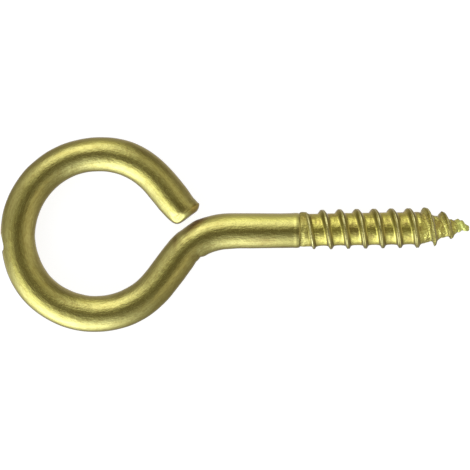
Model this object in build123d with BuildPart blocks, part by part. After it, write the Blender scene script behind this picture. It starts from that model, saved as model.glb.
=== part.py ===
from build123d import *
from math import cos, pi, radians, sin, sqrt
import os

# Screw eye: one length of round wire, bent into a nearly closed eye, with a
# wood-screw thread and a gimlet point rolled on the straight end.
# It lies flat. The origin is the centre of the eye on the shank's axis, +X runs
# along the shank to the point, +Z is up, and the eye lies in the XY plane.
# Millimetres.

# ---- driving dimensions -------------------------------------------------
wire_diameter = 4.0          # drawn wire before rolling
shank_start_x = 23.35        # where the plain wire ends in a small step
neck_start_x = 15.22         # where the straight shank starts to bend

# the bends between shank and free end, in order: (length, radius, turn in
# degrees), a radius of 0 is a straight run, and a positive turn is to the left
# for someone walking from the point towards the eye
route_runs = [
    (5.098, 7.618, 38.35),       # the neck's long bend
    (1.036, 4.344, 13.66),       # the tight set at the neck's inner crease
    (4.297, 0.0, 0.0),           # straight run down to the eye
    (12.884, 9.269, -79.64),     # eye, below
    (6.646, 8.656, -43.99),      # eye, lower left
    (5.837, 9.648, -34.67),      # eye, left
    (15.764, 9.390, -96.19),     # eye, top
    (1.533, 6.778, -12.96),      # eye, start of the free leg
    (3.267, 11.536, -16.23),
    (5.400, 0.0, 0.0),           # straight free leg, past the cropped end
]
crop_back = 0.50             # the shear cuts the leg this far from the route's end
crop_skew = 4.0              # ... a few degrees off square, longer on the outer side
end_roll = 0.72              # rolled-over edge round the cropped end

# flat left by the bending tool on the eye's outer side, away from the shank
flat_points = [(-11.5, 0.02), (-11.15, 0.02), (-10.87, -1.49), (-10.97, -1.86), (-11.5, -1.86)]

thread_pitch = 1.995         # axial advance of one turn, right-handed
crest_radius = 2.25          # outside of the thread
core_radius = 1.83           # root of the thread
crest_phase_x = 26.00        # where a crest passes the +Y side of the shank
crest_half = 0.11            # half width of the crest's top, along the axis
flank_half = 0.48            # half width of the ridge at its root
runin_x = 23.45              # the ridge rises out of the wire here
runin_full_x = 25.60         # ... and has its full height from here
tip_x = 42.98                # the point's end
# how the root and the crest narrow towards the point: (x, radius)
root_taper = [(37.20, 1.83), (39.10, 1.39), (40.20, 1.09), (41.40, 0.76),
              (41.90, 0.55), (42.50, 0.36), (42.90, 0.22)]
crest_taper = [(37.70, 2.25), (38.40, 2.17), (39.06, 2.02), (39.93, 1.78),
               (41.05, 1.34), (41.90, 0.90), (42.40, 0.50), (42.70, 0.28)]
sections_a_turn = 16         # cross sections in each turn of the thread
lobe_steps = [-1.0, -0.62, -0.24, 0.0, 0.24, 0.62, 1.0]   # points across the ridge
last_x = 42.70               # the last cross section


def between(table, x):
    """Straight-line interpolation in a table of (x, value), flat past its ends."""
    if x <= table[0][0]:
        return table[0][1]
    for (x0, v0), (x1, v1) in zip(table, table[1:]):
        if x <= x1:
            return v0 + (v1 - v0) * (x - x0) / (x1 - x0)
    return table[-1][1]


def core_at(x):
    """Root radius: a little larger beside the step, straight, then tapering."""
    if x < 25.0:
        return core_radius + 0.06 * (25.0 - x) / (25.0 - shank_start_x)
    return between(root_taper, x)


def height_at(x):
    """Height of the ridge above the root."""
    if x < runin_full_x:
        t = max(0.0, (x - runin_x) / (runin_full_x - runin_x))
        return (crest_radius - core_radius) * sqrt(t) * (1.5 - 0.5 * t)
    return max(0.0, between(crest_taper, x) - core_at(x))


def ridge(d):
    """Rounded trapezoid, 1 on the crest and 0 at the root, d from its middle."""
    a = abs(d)
    if a <= crest_half:
        return 1.0
    if a >= flank_half:
        return 0.0
    t = (flank_half - a) / (flank_half - crest_half)
    soft = t * t * (3.0 - 2.0 * t)
    return 0.55 * t + 0.45 * soft


# ---- bent wire: shank, neck and eye --------------------------------------
with BuildPart() as bent_wire:
    with BuildLine() as route:
        here = Vector(shank_start_x, 0, 0)
        heading = 180.0
        bend_start = Vector(neck_start_x, 0, 0)
        Line(here, bend_start)
        here = bend_start
        for length, radius, turn in route_runs:
            ahead = Vector(cos(radians(heading)), sin(radians(heading)), 0)
            if radius == 0.0:
                run = Line(here, here + ahead * length)
            else:
                run = JernArc(start=here, tangent=ahead, radius=radius, arc_size=turn)
            here = run @ 1
            heading += turn
    free_leg = Vector(cos(radians(heading)), sin(radians(heading)), 0)
    crop_normal = Vector(cos(radians(heading - crop_skew)), sin(radians(heading - crop_skew)), 0)
    free_end = here - free_leg * crop_back
    with BuildSketch(Plane(origin=(shank_start_x, 0, 0), x_dir=(0, 1, 0), z_dir=(-1, 0, 0))) as section:
        Circle(wire_diameter / 2)
    sweep(path=route.line)
    # the shear crops the free end and leaves it with a rolled-over edge
    with BuildSketch(Plane(origin=free_end, x_dir=(0, 0, 1), z_dir=crop_normal)):
        Circle(wire_diameter / 2 + 0.4)
    extrude(amount=0.80, mode=Mode.SUBTRACT)
    end_face = bent_wire.faces().filter_by(GeomType.PLANE).sort_by_distance(free_end)[0]
    fillet(end_face.edges(), end_roll)
    # flat on the outer side of the eye
    with BuildSketch(Plane.XY.offset(-wire_diameter)) as flat_cut:
        with BuildLine():
            Polyline(*flat_points, close=True)
        make_face()
    extrude(amount=2 * wire_diameter, mode=Mode.SUBTRACT)

# ---- rolled thread --------------------------------------------------------
# Each cross section is a round core with one lobe, the ridge cut square to the
# axis. The lobe goes once round the shank in each pitch.
with BuildPart() as thread:
    first_x = shank_start_x - 0.20
    count = int((last_x - first_x) / thread_pitch * sections_a_turn)
    for i in range(count + 1):
        x = first_x + (last_x - first_x) * i / count
        lobe = (x - crest_phase_x) / thread_pitch       # the lobe's place, in turns from +Y
        root, height = core_at(x), height_at(x)
        points = []
        for part_way in lobe_steps:
            d = part_way * flank_half
            r = root + height * ridge(d)
            turn = 2 * pi * (lobe + d / thread_pitch)
            points.append((r * cos(turn), r * sin(turn)))
        back = 2 * pi * (lobe + 0.5)
        with BuildSketch(Plane(origin=(x, 0, 0), x_dir=(0, 1, 0), z_dir=(1, 0, 0))):
            with BuildLine():
                Spline(*points)
                ThreePointArc(points[-1], (root * cos(back), root * sin(back)), points[0])
            make_face()
    loft(ruled=True)

# ---- blunt gimlet point ---------------------------------------------------
with BuildPart() as point:
    with BuildSketch(Plane.XY) as point_profile:
        with BuildLine():
            Polyline((42.50, 0), (42.50, core_at(42.50) - 0.01), (42.86, core_at(42.86) - 0.03),
                     (tip_x, 0.12), (tip_x, 0), close=True)
        make_face()
    revolve(axis=Axis.X)

with BuildPart() as screw_eye:
    add(bent_wire.part)
    add(thread.part)
    add(point.part)

screw_eye.part.label = "screw_eye"

os.makedirs("parts", exist_ok=True)
export_step(screw_eye.part, "parts/screw_eye.step")

print("solids", len(screw_eye.solids()), "valid", screw_eye.part.is_valid,
      "volume", round(screw_eye.part.volume, 2), "box", screw_eye.part.bounding_box())
print("free end", free_end, "heading", round(heading, 2),
      "wire length", round(sum(run[0] for run in route_runs) + shank_start_x - neck_start_x, 2))
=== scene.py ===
import math

import bmesh
import bpy
import numpy as np
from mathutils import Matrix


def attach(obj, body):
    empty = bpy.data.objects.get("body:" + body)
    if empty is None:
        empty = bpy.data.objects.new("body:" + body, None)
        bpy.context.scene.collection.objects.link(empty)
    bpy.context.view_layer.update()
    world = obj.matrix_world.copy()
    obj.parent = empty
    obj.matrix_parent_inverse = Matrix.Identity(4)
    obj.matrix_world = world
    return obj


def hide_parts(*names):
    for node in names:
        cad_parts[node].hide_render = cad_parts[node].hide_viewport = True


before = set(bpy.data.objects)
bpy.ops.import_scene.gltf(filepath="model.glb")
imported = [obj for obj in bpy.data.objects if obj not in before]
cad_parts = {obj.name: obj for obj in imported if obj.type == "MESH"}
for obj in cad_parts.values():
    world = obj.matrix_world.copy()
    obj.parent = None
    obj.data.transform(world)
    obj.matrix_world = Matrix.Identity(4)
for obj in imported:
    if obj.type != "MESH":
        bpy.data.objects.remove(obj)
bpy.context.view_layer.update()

rng = np.random.default_rng(20)

# ---------------------------------------------------------------------------
# Screw eye: one bent wire with a rolled thread, modelled as one closed mesh.
# All shape numbers are millimetres in the frame of the part (origin at the
# eye's centre, +X along the shank to the point), and become metres at the end.
# ---------------------------------------------------------------------------
MM = 0.001
R = 2.0                       # wire radius
STEP_X = 23.35                # end of the plain wire, with a small step
PITCH = 1.995
CREST_R = 2.28
CORE_R = 1.855
PHASE_X = 26.00               # a crest passes the +Y side here
END_X = 42.94                 # last ring of the point
TIP_X = 42.99
AROUND = 120                  # columns round the wire

# shank, neck and eye, from the step to the free end: (length, radius, turn)
RUNS = [
    (8.130, 0.0, 0.0), (5.098, 7.618, 38.35), (1.036, 4.344, 13.66), (4.297, 0.0, 0.0),
    (12.884, 9.269, -79.64), (6.646, 8.656, -43.99), (5.837, 9.648, -34.67),
    (15.764, 9.390, -96.19), (1.533, 6.778, -12.96), (3.267, 11.536, -16.23), (4.900, 0.0, 0.0),
]


def smooth(a, b, x):
    t = np.clip((np.asarray(x, float) - a) / (b - a), 0.0, 1.0)
    return t * t * (3.0 - 2.0 * t)


def bell(x, middle, width):
    return np.exp(-((np.asarray(x, float) - middle) / width) ** 2)


def wrap(angle):
    return (np.asarray(angle, float) + np.pi) % (2.0 * np.pi) - np.pi


def waves(count, long_range, around_max, seed):
    """Seamless irregularity of a drawn and bent wire, about -1 to 1: a sum of
    waves along the wire (wavelength range in mm) and whole waves round it."""
    g = np.random.default_rng(seed)
    lengths = g.uniform(long_range[0], long_range[1], count)
    turns = g.integers(0, around_max + 1, count)
    phases = g.uniform(0.0, 2.0 * np.pi, (count, 2))
    sizes = g.uniform(0.5, 1.0, count)
    total = np.sqrt((sizes ** 2).sum() / 2.0)

    def value(s, phi):
        out = 0.0
        for k in range(count):
            out = out + sizes[k] * np.cos(2 * np.pi * s / lengths[k] + phases[k, 0]) \
                * np.cos(turns[k] * phi + phases[k, 1])
        return out / total
    return value


# ---- the wire's centre line -------------------------------------------------
DS = 0.01
curvature = np.concatenate([np.full(int(round(l / DS)), math.radians(t) / l if r else 0.0)
                            for l, r, t in RUNS])
kernel = np.exp(-0.5 * (np.arange(-150, 151) * DS / 0.5) ** 2)
curvature = np.convolve(curvature, kernel / kernel.sum(), mode="same")
theta_line = np.pi + np.concatenate([[0.0], np.cumsum(curvature) * DS])
mid = 0.5 * (theta_line[1:] + theta_line[:-1])
x_line = STEP_X + np.concatenate([[0.0], np.cumsum(np.cos(mid)) * DS])
y_line = np.concatenate([[0.0], np.cumsum(np.sin(mid)) * DS])
s_line = np.arange(len(x_line)) * DS
LENGTH = s_line[-1]


def along(point):
    """Distance along the wire of the centre-line point nearest to a place."""
    return s_line[np.argmin((x_line - point[0]) ** 2 + (y_line - point[1]) ** 2)]


def centre(s):
    """Centre line: position and heading, straight on past both ends."""
    s = np.asarray(s, float)
    inside = np.clip(s, 0.0, LENGTH)
    x = np.interp(inside, s_line, x_line)
    y = np.interp(inside, s_line, y_line)
    th = np.interp(inside, s_line, theta_line)
    return x + (s - inside) * np.cos(th), y + (s - inside) * np.sin(th), th


def bend_at(s):
    return np.interp(np.clip(s, 0.0, LENGTH - DS), s_line[:-1], np.abs(curvature))


S_CREASE = along((9.92, -1.83)) - 0.90
S_RIDGE = 11.35

# ---- surface of the wire, before the free end ---------------------------------
slow = waves(9, (7.0, 22.0), 3, 5)
medium = waves(14, (2.2, 6.0), 5, 6)
ripple = waves(26, (0.45, 1.3), 3, 7)


INNER_SIDE = [(0.0, -0.01), (2.1, -0.03), (4.0, 0.03), (6.0, 0.075), (8.0, 0.09), (10.0, 0.095), (11.1, 0.11),
              (11.8, 0.05), (12.3, 0.015), (12.7, -0.01), (13.2, 0.04), (16.0, 0.02), (18.0, -0.015), (21.0, 0.03), (24.0, 0.045), (27.0, 0.08),
              (29.0, 0.095), (31.0, 0.085), (33.0, 0.045), (36.0, 0.05), (38.0, 0.045), (39.5, 0.0), (41.2, -0.07),
              (43.0, -0.01), (44.5, 0.02), (47.0, -0.02), (50.0, -0.02), (54.5, -0.025), (57.5, 0.01),
              (60.0, 0.01), (63.0, -0.05), (65.0, -0.015), (66.0, 0.0), (66.6, 0.02), (67.4, -0.03), (68.2, 0.0)]
OUTER_SIDE = [(0.0, 0.04), (2.0, 0.045), (5.0, 0.005), (7.0, 0.0), (8.4, 0.08), (9.6, 0.07), (10.6, 0.05), (12.0, 0.03),
              (13.0, -0.06), (14.0, -0.08), (15.0, 0.01), (16.5, 0.055), (18.5, 0.02), (20.0, 0.0), (22.0, 0.06),
              (23.5, 0.07), (25.5, 0.055), (27.0, 0.03), (30.0, 0.04), (33.0, 0.05), (35.5, 0.05), (38.0, -0.01),
              (39.5, -0.05), (41.5, -0.05), (44.0, -0.01), (47.0, 0.0), (50.0, -0.04), (52.0, -0.085),
              (55.0, -0.08), (57.0, -0.01), (59.0, 0.025), (62.0, 0.045), (64.5, 0.06), (66.2, 0.03), (67.4, 0.0)]


def wire_radius(s, phi):
    """phi is measured from the inner side of the eye (the shank's +Y side) to +Z."""
    s, phi = np.asarray(s, float), np.asarray(phi, float)
    inner = np.cos(phi)
    bend = np.clip(bend_at(s) / 0.11, 0.0, 1.3)
    r = np.full(np.broadcast(s, phi).shape, R)
    # bending makes the wire a little oval, as the eye's width in the plane shows
    oval = 0.016 * smooth(10.0, 20.0, s) * (1.0 - smooth(52.0, 62.0, s)) + 0.020 * bell(s, 31.0, 6.0) \
        - 0.010 * bell(s, 54.0, 9.0)
    r = r + oval * np.cos(2.0 * phi)
    # small swellings and hollows of the bent wire on its inner and outer side
    r = r + np.interp(s, *zip(*INNER_SIDE)) * np.clip(inner, 0.0, 1.0) ** 1.6
    r = r + np.interp(s, *zip(*OUTER_SIDE)) * np.clip(-inner, 0.0, 1.0) ** 1.6
    # the bending tool sets the neck: a crease on its inner side, a soft swelling
    # beside it, and a slight ridge on the outer side
    crease_side = bell(wrap(phi - np.pi), 0.0, 0.62)
    r = r - 0.090 * bell(s, S_CREASE, 0.30) * crease_side
    r = r + 0.010 * bell(s, S_CREASE - 0.80, 0.45) * crease_side
    r = r + 0.040 * bell(s, S_RIDGE, 0.45) * bell(wrap(phi), 0.0, 0.8)
    # wire skin
    r = r + 0.0085 * slow(s, phi) + (0.0035 + 0.0040 * bend) * medium(s, phi)
    r = r + 0.0016 * bend * ripple(s, phi)
    # rounded, slightly swollen shoulder before the step
    r = r + 0.022 * bell(s, 0.42, 0.20)
    r = r - 0.050 * (1.0 - smooth(0.0, 0.18, s)) ** 1.5
    return r


# ---- the cropped free end ----------------------------------------------------
# (distance back from the end face, radius) on the eye's inner side, where the
# shear has rolled the wire over, and on its outer side, where it is fuller
END_INNER = [(3.2, 2.0), (2.80, 2.0), (2.2, 1.995), (1.68, 1.965), (1.05, 1.86), (0.65, 1.75), (0.45, 1.65),
             (0.22, 1.44), (0.08, 1.12), (0.02, 0.72), (0.0, 0.34), (0.0, 0.0)]
END_OUTER = [(3.2, 2.0), (2.80, 2.0), (2.2, 1.975), (1.68, 1.935), (1.25, 1.925), (0.72, 1.985), (0.46, 1.995),
             (0.18, 1.76), (-0.04, 1.31), (-0.04, 0.85), (0.0, 0.38), (0.0, 0.0)]
END_TOP = [(3.2, 2.0), (2.80, 2.0), (2.2, 1.99), (1.68, 1.97), (1.12, 1.91), (0.72, 1.80), (0.48, 1.66),
           (0.24, 1.40), (0.08, 1.04), (0.02, 0.68), (0.0, 0.34), (0.0, 0.0)]


def finer(table, steps):
    """Catmull-Rom points through a table."""
    p = np.array(table, float)
    p = np.vstack([2 * p[0] - p[1], p, p[-1]])
    out = []
    for k in range(1, len(p) - 2):
        for m in range(steps):
            t = m / steps
            a, b, c, d = p[k - 1], p[k], p[k + 1], p[k + 2]
            out.append(0.5 * (2 * b + (c - a) * t + (2 * a - 5 * b + 4 * c - d) * t * t
                              + (3 * b - a - 3 * c + d) * t ** 3))
    out.append(p[-2])
    return np.array(out)


# ---- thread -------------------------------------------------------------------
ROOT = [(37.20, 1.855), (39.10, 1.39), (40.20, 1.09), (41.40, 0.72), (41.90, 0.52), (42.50, 0.40), (42.94, 0.28)]
CREST = [(37.70, 2.28), (38.40, 2.20), (39.06, 2.02), (39.93, 1.78), (41.05, 1.31), (41.60, 0.99),
         (41.90, 0.84), (42.40, 0.58), (42.70, 0.40), (42.94, 0.28)]
rough_thread = waves(40, (0.35, 1.6), 9, 8)
rough_slow = waves(18, (1.5, 5.0), 4, 9)


def core_at(x):
    near = CORE_R + 0.055 * (1.0 - smooth(24.1, 24.9, x))
    far = np.interp(x, *zip(*ROOT))
    return np.where(x < 25.0, near, far)


def height_at(x):
    start = np.interp(x, (23.45, 24.0, 24.5, 25.0, 25.6, 26.2), (0.0, 0.09, 0.24, 0.36, 0.40, 0.425))
    return np.where(x < 26.2, start, np.maximum(np.interp(x, *zip(*CREST)) - core_at(x), 0.0))


def ridge(d, crest_half=0.11, flank_half=0.48):
    a = np.abs(d)
    t = np.clip((flank_half - a) / (flank_half - crest_half), 0.0, 1.0)
    return 0.55 * t + 0.45 * t * t * (3.0 - 2.0 * t)


def thread_radius(x, d, phi):
    """x on the axis, d the axial distance from the crest's middle."""
    height = height_at(x)
    full = np.clip(height / (CREST_R - CORE_R), 0.0, 1.0)
    up = np.cos(phi)
    wide = smooth(27.0, 31.0, x)
    thin = 0.60 + 0.40 * smooth(24.0, 26.0, x)
    below = np.clip(-up, 0.0, 1.0)
    d = d - 0.09 * bell(x, 38.6, 0.6) * below
    shape = ridge(d, (0.090 + 0.04 * np.clip(up, 0.0, 1.0) + 0.02 * wide) * thin,
                  (0.425 + 0.10 * up + 0.03 * wide) * thin)
    # the ridge runs out into the root in a soft fillet, most on the -Y side
    shape = shape + 0.34 * bell(d, 0.0, 0.42) * (1.0 - shape) * below * full
    r = core_at(x) + height * shape
    r = r + 0.03 * np.clip(up, 0.0, 1.0) * (1.0 - shape) * full
    # the thread is rolled a little off the shank's axis, fuller on its +Y side
    r = r + (0.035 * np.abs(up) ** 2 + 0.030 * up) * full * ridge(d) + 0.030 * smooth(25.0, 29.0, x) * up
    r = r - 0.030 * full * ridge(d) * (1.0 - np.abs(up)) ** 0.5
    r = r + 0.09 * bell(x, 37.75, 0.35) * np.clip(up, 0.0, 1.0) * ridge(d)
    # rolling leaves a fine seam in the crest where the metal meets
    seam = np.clip(rough_slow(x, phi) * 0.5 + 0.7, 0.15, 1.2) * (0.1 + 0.9 * smooth(27.0, 31.0, x))
    r = r - 0.045 * full * seam * bell(d, 0.015, 0.050)
    # coarse skin beside the step and on the last turns
    coarse = 0.0045 + 0.013 * (1.0 - smooth(24.0, 25.2, x)) + 0.046 * smooth(36.4, 38.6, x) \
        * (1.0 - smooth(42.5, 42.94, x))
    r = r + coarse * rough_thread(x, phi) * (0.55 + 0.45 * np.cos(np.pi * np.clip(d / 0.9, -1, 1)) ** 2)
    r = r + 0.006 * rough_slow(x, phi)
    # the wire swells a little right after the step, most on its upper side
    r = r + bell(x, 23.66, 0.30) * 0.20 * bell(wrap(phi), 0.0, 0.50)
    r = r - 0.015 * (1.0 - smooth(23.38, 23.50, x))
    return np.maximum(r, 0.02)


# ---- mesh ------------------------------------------------------------------
vertices, faces = [], []
mm_along, mm_phi, mm_radius = [], [], []
masks = {"thread": [], "root": [], "bend": [], "flank_shade": [], "crest": []}


def add_ring(points, s, phi, r, thread, root, bend, flank_shade=0.0, crest=0.0):
    first = len(vertices)
    for k in range(len(points)):
        vertices.append(points[k])
    mm_along.extend(np.broadcast_to(s, len(points)))
    mm_phi.extend(np.broadcast_to(phi, len(points)))
    mm_radius.extend(np.broadcast_to(r, len(points)))
    masks["thread"].extend(np.broadcast_to(thread, len(points)))
    masks["root"].extend(np.broadcast_to(root, len(points)))
    masks["bend"].extend(np.broadcast_to(bend, len(points)))
    masks["flank_shade"].extend(np.broadcast_to(flank_shade, len(points)))
    masks["crest"].extend(np.broadcast_to(crest, len(points)))
    return list(range(first, first + len(points)))


def place(s, phi, r):
    """Points of the wire at distance s along it, s one value a column."""
    cx, cy, th = centre(s)
    return np.stack([cx + r * np.cos(phi) * np.sin(th), cy - r * np.cos(phi) * np.cos(th), r * np.sin(phi)], 1)


def stitch(a, b):
    n = len(a)
    for j in range(n):
        k = (j + 1) % n
        faces.append((a[j], b[j], b[k], a[k]))


phis = 2.0 * np.pi * np.arange(AROUND) / AROUND

# wire rings, closer together at the shoulder and at the neck's crease
stations = [0.0]
while stations[-1] < LENGTH - 3.2:
    s = stations[-1]
    step = 0.26
    if s < 0.9:
        step = 0.05
    elif abs(s - S_CREASE) < 1.2:
        step = 0.09
    stations.append(s + step)
stations[-1] = LENGTH - 3.2
if stations[-1] - stations[-2] < 0.15:
    del stations[-2]

FLAT = [(0.30, -11.40), (0.02, -11.15), (-0.55, -11.03), (-1.10, -10.93), (-1.49, -10.87), (-1.75, -10.93),
        (-1.95, -11.05), (-2.15, -11.40)]


def press_flat(points):
    """The bending tool's small flat on the eye's outer side, leaning back a little."""
    limit = np.interp(points[:, 1], *zip(*FLAT[::-1]), left=-99.0, right=-99.0) + 0.178 * points[:, 2]
    near = (points[:, 0] < -9.5) & (points[:, 0] < limit)
    points[near, 0] = limit[near]
    return points


wire_rings = []
for s in stations:
    r = wire_radius(s, phis)
    points = press_flat(place(np.full(AROUND, s), phis, r))
    bend = float(np.clip(bend_at(s) / 0.11, 0.0, 1.0))
    wire_rings.append(add_ring(points, s, phis, r, 0.0, 0.0, bend))
for a, b in zip(wire_rings, wire_rings[1:]):
    stitch(a, b)

# free end
inner_q, outer_q, top_q = finer(END_INNER, 4), finer(END_OUTER, 4), finer(END_TOP, 4)
w_in = np.clip(np.cos(phis), 0.0, 1.0) ** 1.3
w_out = np.clip(-np.cos(phis), 0.0, 1.0) ** 1.3
w_top = 1.0 - w_in - w_out
last = wire_rings[-1]
chip = waves(12, (0.5, 1.6), 6, 12)
for k in range(1, len(inner_q) - 1):
    back = w_in * inner_q[k, 0] + w_out * outer_q[k, 0] + w_top * top_q[k, 0]
    scale = w_in * inner_q[k, 1] + w_out * outer_q[k, 1] + w_top * top_q[k, 1]
    s = LENGTH - back
    r = scale * wire_radius(s, phis) / R
    # the shear has pressed the inner upper corner to a soft slanting flat
    slant = wrap(phis - 0.90 - 0.22 * (1.0 - smooth(0.1, 1.3, back)))
    limit = 2.03 - 0.72 * (1.0 - smooth(-0.10, 1.75, back))
    pressed = limit / np.cos(np.clip(slant, -1.25, 1.25))
    r = np.where(np.abs(slant) < 1.25, -0.03 * np.logaddexp(-r / 0.03, -pressed / 0.03), r)
    # a fine groove and lip that the shear leaves on the outer half
    outer_side = bell(wrap(phis - 2.55), 0.0, 0.85)
    r = r - 0.050 * bell(back, 0.70, 0.10) * outer_side * (scale > 1.2)
    r = r + 0.030 * bell(back, 0.46, 0.10) * outer_side * (scale > 1.2)
    r = r * (1.0 + 0.006 * (1.0 - smooth(1.0, 2.4, back)) * chip(back * 2.0 + scale * 3.0, phis))
    ring = add_ring(place(s, phis, r), s, phis, r, 0.0, 0.0, 0.2)
    stitch(last, ring)
    last = ring
tip = add_ring(place(np.array([LENGTH]), np.array([0.0]), np.array([0.0])), LENGTH, 0.0, 0.0, 0.0, 0.0, 0.2)[0]
for j in range(AROUND):
    faces.append((last[j], tip, last[(j + 1) % AROUND]))

# thread: rows of points that follow the ridge, one turn of it in each pitch
A_PITCH = 34
START_X = STEP_X + 0.03
starts = np.arange(int((START_X - PITCH - PHASE_X) / PITCH * A_PITCH) - 2,
                   int((END_X - PHASE_X) / PITCH * A_PITCH) + 3)
# closer rows on the ridge than in the root
unit = starts / A_PITCH
turn_part = unit - np.round(unit)
d_rows = PITCH * (turn_part - 0.055 * np.sin(4 * np.pi * turn_part) * 1.0)
v_rows = PHASE_X + np.round(unit) * PITCH + d_rows
grid = []
tip_shift = lambda x: 0.08 * smooth(38.8, 42.2, x) - 0.17 * smooth(42.25, 42.90, x)
for v in v_rows:
    x = np.clip(v + PITCH * phis / (2 * np.pi), START_X, END_X)
    w = (x - PHASE_X) / PITCH - phis / (2 * np.pi)
    d = (w - np.round(w)) * PITCH
    r = thread_radius(x, d, phis)
    points = np.stack([x, r * np.cos(phis) + tip_shift(x), r * np.sin(phis)], 1)
    lift = ridge(d, 0.09, 0.46)
    root = (1.0 - lift) * np.clip(height_at(x) / 0.3, 0.0, 1.0)
    # painted highlight: thin bright lines along the crest, one above and three below, where rolling has polished the
    # plating
    low = 1.0 - smooth(-0.45, 0.10, np.cos(phis))
    fine = (0.5 + 0.5 * np.cos(2.0 * np.pi * d / 0.15)) ** 2 * bell(d, 0.0, 0.24)
    crest = ((1.0 - low) * bell(d, 0.0, 0.075) + low * fine) * np.clip(height_at(x) / 0.25, 0.0, 1.0) \
        * (1.0 - 0.4 * smooth(37.3, 38.3, x))
    # painted shade: darker ridge flanks (less on the +Y side), a dark line in the groove at the step, and a dark line
    # left of the crest on the last turns
    flank_shade = smooth(0.02, 0.22, lift) * (1.0 - crest) * np.clip(height_at(x) / 0.25, 0.0, 1.0)
    flank_shade = flank_shade * (1.0 - 0.65 * smooth(0.72, 0.97, np.cos(phis)))
    flank_shade = np.maximum(flank_shade, 0.8 * (1.0 - smooth(23.42, 23.52, x)))
    flank_shade = flank_shade + 2.6 * bell(d, -0.17, 0.07) * smooth(37.3, 38.3, x) * (1.0 - smooth(40.6, 41.2, x))
    worked = 1.45 + 2.0 * smooth(36.0, 38.0, x) + 1.5 * (1.0 - smooth(24.2, 25.2, x))
    grid.append(add_ring(points, STEP_X - x, phis, r, worked, root, 0.0, flank_shade, crest))
for i in range(len(grid) - 1):
    for j in range(AROUND):
        if j + 1 < AROUND:
            a, b = grid[i][j + 1], grid[i + 1][j + 1]
        elif i + 1 + A_PITCH < len(grid):
            a, b = grid[i + A_PITCH][0], grid[i + 1 + A_PITCH][0]
        else:
            continue
        faces.append((grid[i][j], a, b, grid[i + 1][j]))
tip = add_ring(np.array([[TIP_X, -0.09, 0.0]]), STEP_X - TIP_X, 0.0, 0.0, 1.0, 0.0, 0.0)[0]
end_ring = []
for j in range(AROUND):
    column = [g[j] for g in grid if vertices[g[j]][0] >= END_X - 1e-9]
    end_ring.append(column[0] if column else grid[-1][j])
start_ring = []
for j in range(AROUND):
    column = [g[j] for g in grid if vertices[g[j]][0] <= START_X + 1e-9]
    start_ring.append(column[-1] if column else grid[0][j])
for j in range(AROUND):
    faces.append((end_ring[j], end_ring[(j + 1) % AROUND], tip))
stitch(start_ring, wire_rings[0])

# one set of points: those that the clamping has put in one place are merged
co = np.array(vertices, float)
keys = np.round(co / 2e-6).astype(np.int64)
_, keep, where = np.unique(keys, axis=0, return_index=True, return_inverse=True)
where = where.reshape(-1)
clean, seen = [], set()
for f in faces:
    g = []
    for v in f:
        q = int(where[v])
        if not g or g[-1] != q:
            g.append(q)
    if len(g) > 1 and g[0] == g[-1]:
        g.pop()
    if len(set(g)) < 3 or len(set(g)) != len(g):
        continue
    key = tuple(sorted(g))
    if key in seen:
        continue
    seen.add(key)
    clean.append(g)

mesh = bpy.data.meshes.new("screw_eye_wire")
mesh.from_pydata([tuple(p) for p in co[keep] * MM], [], clean)


def attribute(name, values, kind="FLOAT"):
    a = mesh.attributes.new(name, kind, "POINT")
    a.data.foreach_set("value" if kind == "FLOAT" else "vector", np.asarray(values, np.float32).reshape(-1))


s_all = np.array(mm_along)[keep]
phi_all = np.array(mm_phi)[keep]
r_all = np.array(mm_radius)[keep]
p_all = co[keep]
# the wire laid out straight, so that the drawing lines run along it
attribute("wire_place", np.stack([s_all, r_all * np.cos(phi_all), r_all * np.sin(phi_all)], 1), "FLOAT_VECTOR")
attribute("wire_place_x", s_all)
for name in masks:
    attribute(name, np.array(masks[name])[keep])


def patch(x, y, size_x, size_y, turn=0.0):
    """Soft patch on the upper side, about a place in the plane of the eye."""
    c, n = math.cos(math.radians(turn)), math.sin(math.radians(turn))
    dx, dy = p_all[:, 0] - x, p_all[:, 1] - y
    a, b = dx * c + dy * n, -dx * n + dy * c
    return np.exp(-(a / size_x) ** 2 - (b / size_y) ** 2) * smooth(-0.6, 0.3, p_all[:, 2])


# brown, mottled patches on the upper side at the neck, its crease, the free end and the shank
brown_patches = 1.00 * patch(11.12, 0.76, 1.30, 0.40, 37.0) + 0.70 * patch(11.95, 1.30, 0.80, 0.28, 28.0) \
    + 0.65 * patch(9.00, -1.05, 0.32, 0.75, 0.0) + 0.25 * patch(11.0, -2.75, 0.35, 0.28, 0.0) \
    + 0.45 * patch(19.2, -1.15, 1.3, 0.45, 0.0)
brassy = 0.9 * patch(11.52, 0.68, 0.90, 0.16, 35.0) + 0.9 * patch(11.30, 2.78, 0.32, 0.45) + 0.9 * patch(37.9, 1.30, 0.50, 0.35) + 0.5 * patch(38.3, 0.60, 0.35, 0.60) + 0.5 * patch(40.0, 0.95, 0.30, 0.35) + 0.6 * patch(35.9, -1.20, 0.55, 0.30) + 0.6 * patch(36.1, 1.60, 0.6, 0.25) \
    + 0.7 * patch(23.8, 1.35, 0.40, 0.40) + 0.5 * patch(39.3, 0.55, 0.35, 0.35)
end_facet = smooth(LENGTH - 0.75, LENGTH - 0.35, s_all)
facet = end_facet * smooth(0.15, 0.8, -np.cos(phi_all)) * smooth(-0.3, 0.2, np.sin(phi_all))
attribute("brown_patches", np.clip(brown_patches, 0.0, 1.0))
attribute("facet", np.clip(facet + brassy, 0.0, 1.0))
attribute("point", smooth(41.0, 41.9, STEP_X - s_all))
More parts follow.
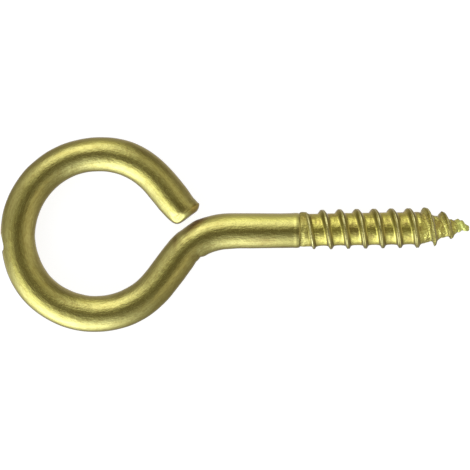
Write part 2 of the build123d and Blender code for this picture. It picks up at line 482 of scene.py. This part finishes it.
# painted highlight: the lower rim of the free end, which the shear has rubbed rougher, and the shank's +Y upper side
# get a brighter colour;
# painted shade: a darker colour beside the step on the other side
rim = patch(10.30, 1.83, 0.62, 0.24, 32.0)
plain = (s_all > 0.0) & (s_all < 20.0)
painted_sheen = plain * bell(wrap(phi_all - 0.74), 0.0, 0.46) * (1.0 - smooth(7.0, 9.5, s_all))
painted_shade = plain * bell(wrap(phi_all - 2.36), 0.0, 0.46) * (1.0 - smooth(1.6, 3.6, s_all))
attribute("rim", rim)
attribute("painted_sheen", np.clip(painted_sheen + rim, 0.0, 1.0))
attribute("painted_shade", painted_shade)

wire = bpy.data.objects.new("screw_eye_wire", mesh)
bpy.context.scene.collection.objects.link(wire)
bm = bmesh.new()
bm.from_mesh(mesh)
bmesh.ops.recalc_face_normals(bm, faces=bm.faces)
loose = [v for v in bm.verts if not v.link_faces]
bmesh.ops.delete(bm, geom=loose, context="VERTS")
open_edges = sum(1 for e in bm.edges if len(e.link_faces) != 2)
volume = bm.calc_volume(signed=True) * 1e9
if volume < 0:
    bmesh.ops.reverse_faces(bm, faces=bm.faces)
for f in bm.faces:
    f.smooth = True
triangles = sum(len(f.verts) - 2 for f in bm.faces)
bm.to_mesh(mesh)
bm.free()
print("wire mesh: triangles", triangles, "open edges", open_edges, "volume mm3", round(abs(volume), 1))


# ---- material ------------------------------------------------------------------
def make_material():
    m = bpy.data.materials.new("yellow_plated_wire")
    m.use_nodes = True
    nt = m.node_tree
    nt.nodes.clear()
    link = nt.links.new

    def node(kind, **settings):
        n = nt.nodes.new(kind)
        for key, value in settings.items():
            setattr(n, key, value)
        return n

    def attr(name):
        return node("ShaderNodeAttribute", attribute_type="GEOMETRY", attribute_name=name)

    def scaled(vector, scale):
        n = node("ShaderNodeVectorMath", operation="MULTIPLY")
        link(vector, n.inputs[0])
        n.inputs[1].default_value = scale
        return n.outputs["Vector"]

    def noise(vector, scale, detail=3.0, rough=0.5):
        n = node("ShaderNodeTexNoise", noise_dimensions="3D")
        link(vector, n.inputs["Vector"])
        n.inputs["Scale"].default_value = scale
        n.inputs["Detail"].default_value = detail
        n.inputs["Roughness"].default_value = rough
        return n.outputs["Fac"]

    def calc(kind, a, b, clamp=False):
        n = node("ShaderNodeMath", operation=kind, use_clamp=clamp)
        for k, v in enumerate((a, b)):
            if isinstance(v, (int, float)):
                n.inputs[k].default_value = v
            else:
                link(v, n.inputs[k])
        return n.outputs[0]

    def ramp(value, lo, hi, out_lo=0.0, out_hi=1.0):
        n = node("ShaderNodeMapRange", clamp=True)
        link(value, n.inputs["Value"])
        for name, v in (("From Min", lo), ("From Max", hi), ("To Min", out_lo), ("To Max", out_hi)):
            n.inputs[name].default_value = v
        return n.outputs["Result"]

    def mix(fac, a, b):
        n = node("ShaderNodeMix", data_type="RGBA", blend_type="MIX")
        if isinstance(fac, (int, float)):
            n.inputs["Factor"].default_value = fac
        else:
            link(fac, n.inputs["Factor"])
        for sock, v in (("A", a), ("B", b)):
            s = [i for i in n.inputs if i.name == sock and i.type == "RGBA"][0]
            if isinstance(v, tuple):
                s.default_value = (*v, 1.0)
            else:
                link(v, s)
        return [o for o in n.outputs if o.type == "RGBA"][0]

    place_v = attr("wire_place").outputs["Vector"]
    thread = attr("thread").outputs["Fac"]
    root = attr("root").outputs["Fac"]
    bend = attr("bend").outputs["Fac"]
    brown_patches_a = attr("brown_patches").outputs["Fac"]
    facet_a = attr("facet").outputs["Fac"]
    flank_shade_a = attr("flank_shade").outputs["Fac"]
    point_a = attr("point").outputs["Fac"]
    crest_highlight_a = attr("crest").outputs["Fac"]
    rim_a = attr("rim").outputs["Fac"]
    painted_sheen_a = attr("painted_sheen").outputs["Fac"]
    glitter = noise(place_v, 4.6, 2.0, 0.65)
    painted_shade_a = attr("painted_shade").outputs["Fac"]

    # lengthwise drawing lines, crosswise wrinkles of the bends, fine grain
    lines = noise(scaled(place_v, (0.45, 6.5, 6.5)), 1.0, 2.0, 0.5)
    wrinkles = noise(scaled(place_v, (3.0, 0.9, 0.9)), 1.0, 2.0, 0.5)
    grain = noise(place_v, 9.0, 2.0, 0.6)
    pits = noise(scaled(place_v, (1.7, 3.6, 3.6)), 1.0, 3.0, 0.6)
    cloud = noise(scaled(place_v, (0.55, 0.9, 0.9)), 1.0, 3.0, 0.55)
    spots = noise(place_v, 3.2, 2.0, 0.6)
    patches = noise(place_v, 0.9, 2.0, 0.5)

    worked = calc("MULTIPLY", calc("SUBTRACT", thread, 1.0), 0.4, True)
    pale, deep = (0.725, 0.655, 0.195), (0.645, 0.572, 0.160)
    colour = mix(ramp(cloud, 0.30, 0.70), pale, deep)
    drawn = calc("SUBTRACT", 1.0, thread, True)
    colour = mix(calc("MULTIPLY", drawn, ramp(lines, 0.50, 0.72, 0.0, 0.34), True), colour, (0.47, 0.40, 0.10))
    colour = mix(calc("MULTIPLY", drawn, ramp(lines, 0.28, 0.46, 0.30, 0.0), True), colour, (0.84, 0.77, 0.27))
    colour = mix(ramp(pits, 0.45, 0.75, 0.0, 0.60), colour, (0.50, 0.385, 0.090))
    clean = calc("MULTIPLY", root, 0.75, True)
    colour = mix(clean, colour, (0.96, 0.85, 0.165))
    fresh = calc("MULTIPLY", worked, ramp(attr("wire_place_x").outputs["Fac"], -14.5, -12.5, 1.0, 0.0), True)
    colour = mix(calc("MULTIPLY", worked, 0.50, True), colour, (0.74, 0.66, 0.160))
    colour = mix(calc("MULTIPLY", fresh, 0.95, True), colour, (1.0, 0.93, 0.215))
    colour = mix(calc("MULTIPLY", fresh, ramp(glitter, 0.45, 0.60, 0.0, 0.48), True), colour, (0.50, 0.385, 0.045))
    # painted highlight: brighter colour on the shank's +Y upper side and the free end's lower rim
    colour = mix(calc("MULTIPLY", painted_sheen_a, 0.90, True), colour, (1.0, 0.93, 0.265))
    # painted shade: darker colour beside the step
    colour = mix(calc("MULTIPLY", painted_shade_a, 0.80, True), colour, (0.50, 0.44, 0.115))
    brown = (0.25, 0.140, 0.038)
    # brown mottled patches at the neck, the crease, the free end and the shank
    mottled = calc("MULTIPLY", brown_patches_a, ramp(spots, 0.30, 0.62, 0.65, 1.0), True)
    colour = mix(mottled, colour, brown)
    colour = mix(calc("MULTIPLY", facet_a, 0.72, True), colour, (0.64, 0.465, 0.10))
    dirt = calc("MULTIPLY", root, ramp(patches, 0.47, 0.63, 0.0, 0.58), True)
    dirt = calc("MULTIPLY", dirt, ramp(spots, 0.35, 0.60, 0.2, 1.0), True)
    colour = mix(dirt, colour, (0.46, 0.31, 0.085))
    # painted shade on the thread's flanks, weaker on the last turns
    flank_shade_part = calc("MULTIPLY", flank_shade_a, calc("SUBTRACT", 0.88, calc("MULTIPLY", fresh, 0.48)), True)
    colour = mix(flank_shade_part, colour, (0.335, 0.275, 0.038))
    # painted highlight along the crests, on plating that rolling has polished
    colour = mix(calc("MULTIPLY", crest_highlight_a, 0.80, True), colour, (1.0, 0.93, 0.42))
    colour = mix(calc("MULTIPLY", point_a, 0.85, True), colour, (0.95, 1.0, 0.26))

    rough = calc("ADD", ramp(grain, 0.3, 0.7, 0.11, 0.16), ramp(cloud, 0.3, 0.7, -0.01, 0.02))
    beside = calc("SUBTRACT", worked, fresh, True)
    rough = calc("ADD", rough, calc("MULTIPLY", worked, 0.09))
    rough = calc("ADD", rough, calc("MULTIPLY", calc("MULTIPLY", beside, beside), 0.26))
    rough = calc("ADD", rough, calc("ADD", calc("MULTIPLY", point_a, 0.12), calc("MULTIPLY", rim_a, 0.22)))
    rough = calc("ADD", rough, calc("MULTIPLY", brown_patches_a, 0.10), True)

    # bump heights in metres
    h = calc("MULTIPLY", calc("SUBTRACT", lines, 0.5), 0.0000110)
    h2 = calc("MULTIPLY", calc("SUBTRACT", wrinkles, 0.5), calc("MULTIPLY", bend, 0.0000040))
    h3 = calc("MULTIPLY", calc("SUBTRACT", pits, 0.5), calc("ADD", 0.0000300, calc("MULTIPLY", worked, 0.0001000)))
    h4 = calc("MULTIPLY", calc("SUBTRACT", grain, 0.5), 0.0000055)
    h5 = calc("MULTIPLY", calc("SUBTRACT", glitter, 0.5), calc("MULTIPLY", fresh, 0.0001400))
    height = calc("ADD", calc("ADD", calc("ADD", h, h2), h5), calc("ADD", h3, h4))
    bump = node("ShaderNodeBump")
    bump.inputs["Strength"].default_value = 1.0
    bump.inputs["Distance"].default_value = 1.0
    link(height, bump.inputs["Height"])

    shader = node("ShaderNodeBsdfPrincipled")
    shader.inputs["Metallic"].default_value = 1.0
    shader.inputs["Specular Tint"].default_value = (0.85, 0.84, 0.66, 1.0)
    link(colour, shader.inputs["Base Color"])
    link(rough, shader.inputs["Roughness"])
    link(bump.outputs["Normal"], shader.inputs["Normal"])
    out = node("ShaderNodeOutputMaterial")
    link(shader.outputs["BSDF"], out.inputs["Surface"])
    return m


mesh.materials.append(make_material())
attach(wire, "root")
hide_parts("screw_eye")
wire.visible_glossy = False

# ---- floor -----------------------------------------------------------------------
FLOOR_Z = -2.275 * MM
floor_mesh = bpy.data.meshes.new("floor")
floor_mesh.from_pydata([(-1.2, -1.2, FLOOR_Z), (1.2, -1.2, FLOOR_Z), (1.2, 1.2, FLOOR_Z), (-1.2, 1.2, FLOOR_Z)],
                       [], [(0, 1, 2, 3)])
floor = bpy.data.objects.new("floor", floor_mesh)
bpy.context.scene.collection.objects.link(floor)
floor_material = bpy.data.materials.new("white_paper")
floor_material.use_nodes = True
b = floor_material.node_tree.nodes["Principled BSDF"]
b.inputs["Base Color"].default_value = (0.35, 0.35, 0.35, 1.0)
b.inputs["Roughness"].default_value = 0.9
b.inputs["Specular IOR Level"].default_value = 0.0
b.inputs["Emission Color"].default_value = (1.0, 1.0, 1.0, 1.0)
b.inputs["Emission Strength"].default_value = 0.88
floor_mesh.materials.append(floor_material)
floor.visible_glossy = False

# ---- soft studio light ----------------------------------------------------------
# large soft lights round the object, as (azimuth, elevation, sharpness, colour)
LIGHTS = [
    (-145.6, 41.9, 16.3, (0.610, 0.640, 0.474)),
    (-117.7, 6.7, 5.1, (2.32, 2.52, 3.38)),
    (-169.1, -40.3, 28.0, (0.384, 0.398, 0.614)),
    (80.0, -72.7, 3.1, (0.484, 0.463, 0.774)),
    (108.2, 39.1, 13.8, (1.40, 1.46, 1.72)),
    (92.5, 14.9, 28.0, (0.507, 0.523, 0.453)),
    (44.2, 39.6, 11.4, (0.320, 0.320, 0.311)),
    (149.9, 19.3, 5.4, (0.339, 0.347, 0.424)),
    (-4.0, 8.1, 5.1, (0.462, 0.450, 0.504)),
    (94.4, -8.5, 21.4, (0.217, 0.222, 0.172)),
    (114.5, 63.1, 28.0, (0.262, 0.276, 0.252)),
    (-37.4, 39.3, 20.8, (0.259, 0.245, 0.245)),
]
ALL_ROUND = (0.088, 0.075, 0.032)
world = bpy.data.worlds.new("studio")
bpy.context.scene.world = world
world.use_nodes = True
nt = world.node_tree
nt.nodes.clear()
coordinate = nt.nodes.new("ShaderNodeTexCoord")
ambient = nt.nodes.new("ShaderNodeVectorMath")
ambient.operation = "ADD"
ambient.inputs[0].default_value = ALL_ROUND
ambient.inputs[1].default_value = (0.0, 0.0, 0.0)
total = ambient.outputs["Vector"]
for azimuth, elevation, sharp, colour in LIGHTS:
    a, e = math.radians(azimuth), math.radians(elevation)
    dot = nt.nodes.new("ShaderNodeVectorMath")
    dot.operation = "DOT_PRODUCT"
    nt.links.new(coordinate.outputs["Generated"], dot.inputs[0])
    dot.inputs[1].default_value = (math.cos(e) * math.cos(a), math.cos(e) * math.sin(a), math.sin(e))
    away = nt.nodes.new("ShaderNodeMath")
    away.operation = "MULTIPLY_ADD"
    nt.links.new(dot.outputs["Value"], away.inputs[0])
    away.inputs[1].default_value = sharp
    away.inputs[2].default_value = -sharp
    fall = nt.nodes.new("ShaderNodeMath")
    fall.operation = "EXPONENT"
    nt.links.new(away.outputs[0], fall.inputs[0])
    tint = nt.nodes.new("ShaderNodeVectorMath")
    tint.operation = "SCALE"
    tint.inputs[0].default_value = colour
    nt.links.new(fall.outputs[0], tint.inputs["Scale"])
    add = nt.nodes.new("ShaderNodeVectorMath")
    add.operation = "ADD"
    nt.links.new(total, add.inputs[0])
    nt.links.new(tint.outputs["Vector"], add.inputs[1])
    total = add.outputs["Vector"]
lights = nt.nodes.new("ShaderNodeBackground")
nt.links.new(total, lights.inputs["Color"])
backdrop = nt.nodes.new("ShaderNodeBackground")
backdrop.inputs["Color"].default_value = (0.94, 0.94, 0.94, 1.0)
path = nt.nodes.new("ShaderNodeLightPath")
choose = nt.nodes.new("ShaderNodeMixShader")
nt.links.new(path.outputs["Is Camera Ray"], choose.inputs[0])
nt.links.new(lights.outputs[0], choose.inputs[1])
nt.links.new(backdrop.outputs[0], choose.inputs[2])
world_out = nt.nodes.new("ShaderNodeOutputWorld")
nt.links.new(choose.outputs[0], world_out.inputs["Surface"])
world.cycles.sampling_method = "NONE"

# ---- camera -----------------------------------------------------------------------
# close above the part, looking straight down, turned a little about the view
DISTANCE = 150.0
FIELD = 54.335
camera_data = bpy.data.cameras.new("camera")
camera_data.sensor_width = 36.0
camera_data.sensor_fit = "HORIZONTAL"
camera_data.lens = 36.0 * DISTANCE / FIELD
camera_data.clip_start = 0.002
camera_data.clip_end = 20.0
camera = bpy.data.objects.new("camera", camera_data)
bpy.context.scene.collection.objects.link(camera)
camera.location = (15.902 * MM, -0.441 * MM, DISTANCE * MM)
camera.rotation_euler = (0.0, 0.0, -math.radians(0.85))
bpy.context.scene.camera = camera
bpy.context.scene.view_settings.view_transform = "Standard"
bpy.context.scene.view_settings.look = "None"
